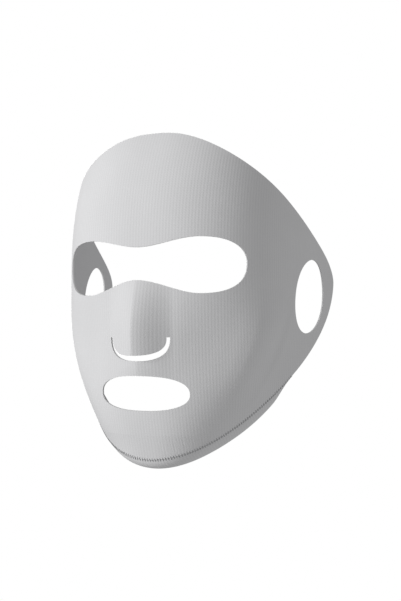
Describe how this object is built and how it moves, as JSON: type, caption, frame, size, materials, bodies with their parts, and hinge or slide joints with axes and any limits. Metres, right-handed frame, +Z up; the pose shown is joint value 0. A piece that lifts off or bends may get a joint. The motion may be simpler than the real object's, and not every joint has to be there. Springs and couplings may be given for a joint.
{
  "type": "moulded knit face mask",
  "caption": "Thin moulded knit face mask with one wide eye window, mouth window, free nose flap, ear wings with oval openings and a sewn under-chin panel.",
  "frame": {"origin": "between the wearer's eyes, on the median front of the face panel at the height of the eye window's middle", "axes": "+Z up, the face looks towards -Y, +X is the wearer's left; the mask is mirror-symmetric in X"},
  "size_m": [0.1504, 0.1127, 0.1798],
  "materials": {
    "outer_knit": "fine matte knit, pale grey",
    "bonded_core": "thin bonded foam, near white",
    "lining_knit": "smooth matte lining knit, grey",
    "seam_thread": "twisted sewing thread, mid grey"
  },
  "bodies": {
    "face": {"face_outer_knit": "outer_knit", "face_core": "bonded_core", "face_lining_knit": "lining_knit", "chin_outer_knit": "outer_knit", "chin_core": "bonded_core", "chin_lining_knit": "lining_knit", "seam_needle_thread": "seam_thread", "seam_looper_thread": "seam_thread"},
    "left_wing": {"left_wing_outer_knit": "outer_knit", "left_wing_core": "bonded_core", "left_wing_lining_knit": "lining_knit"},
    "right_wing": {"right_wing_outer_knit": "outer_knit", "right_wing_core": "bonded_core", "right_wing_lining_knit": "lining_knit"},
    "nose_flap": {"nose_flap_outer_knit": "outer_knit", "nose_flap_core": "bonded_core", "nose_flap_lining_knit": "lining_knit"}
  },
  "joints": [
    {"name": "left_wing_fold", "type": "hinge", "parent": "face", "child": "left_wing", "pos_m": [0.0622, 0.05074, -0.0047], "axis": [-0.0514, -0.2404, 0.9693], "range_deg": [-20, 70], "stiffness_Nm_per_rad": 0.004},
    {"name": "right_wing_fold", "type": "hinge", "parent": "face", "child": "right_wing", "pos_m": [-0.0622, 0.05074, -0.0047], "axis": [-0.0514, 0.2404, -0.9693], "range_deg": [-20, 70], "stiffness_Nm_per_rad": 0.004},
    {"name": "nose_flap_bend", "type": "hinge", "parent": "face", "child": "nose_flap", "pos_m": [0, -0.0085, -0.0367], "axis": [-1, 0, 0], "range_deg": [0, 15], "stiffness_Nm_per_rad": 0.0005}
  ]
}
